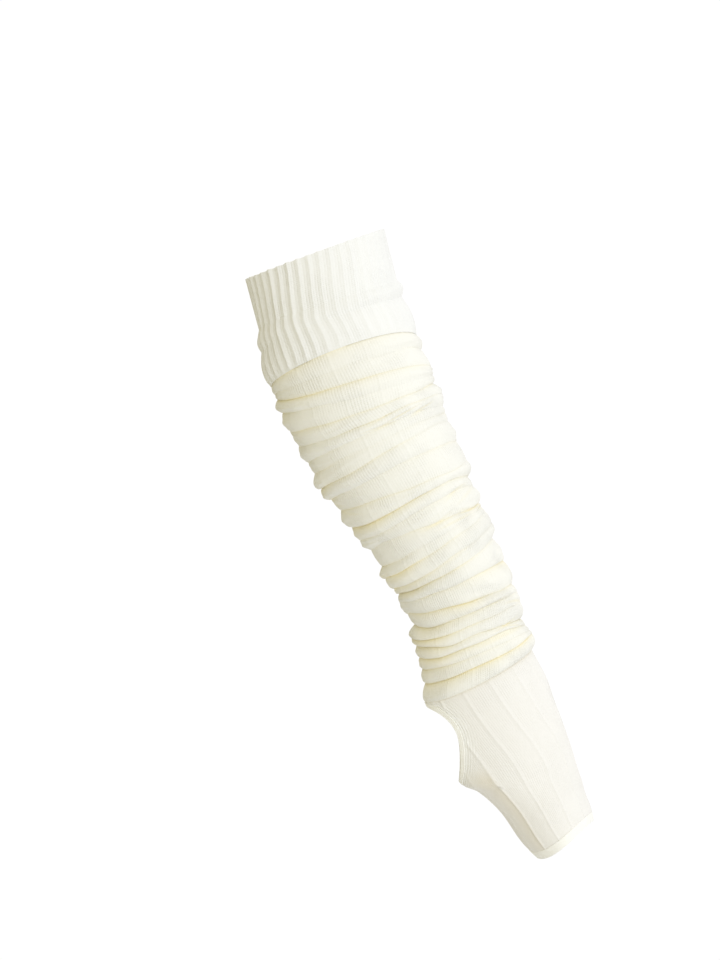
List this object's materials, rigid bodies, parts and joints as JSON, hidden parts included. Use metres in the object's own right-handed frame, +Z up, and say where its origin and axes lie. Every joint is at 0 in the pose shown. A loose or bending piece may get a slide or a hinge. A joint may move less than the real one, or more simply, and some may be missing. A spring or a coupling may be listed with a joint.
{
  "type": "stirrup leg warmer",
  "caption": "Cream knitted leg warmer with a ribbed cuff, a long gathered leg, an open heel and a smooth foot.",
  "frame": {"origin": "middle of the cuff's mouth, where the garment is held up when it is worn", "axes": "+X to the front, +Z up, +Y to one flat side; the leg leans forward as it goes down to the toes"},
  "size_m": [0.2719, 0.1138, 0.4907],
  "materials": {
    "cuff_rib_knit": "matt rib knit",
    "leg_knit": "matt fine knit",
    "foot_knit": "matt fine knit",
    "band_knit": "matt knit band",
    "hem_knit": "matt knit hem"
  },
  "bodies": {
    "root": {"top_cuff": "cuff_rib_knit", "leg_tube": "leg_knit", "foot_tube": "foot_knit", "heel_band": "band_knit", "toe_hem": "hem_knit"}
  },
  "joints": []
}
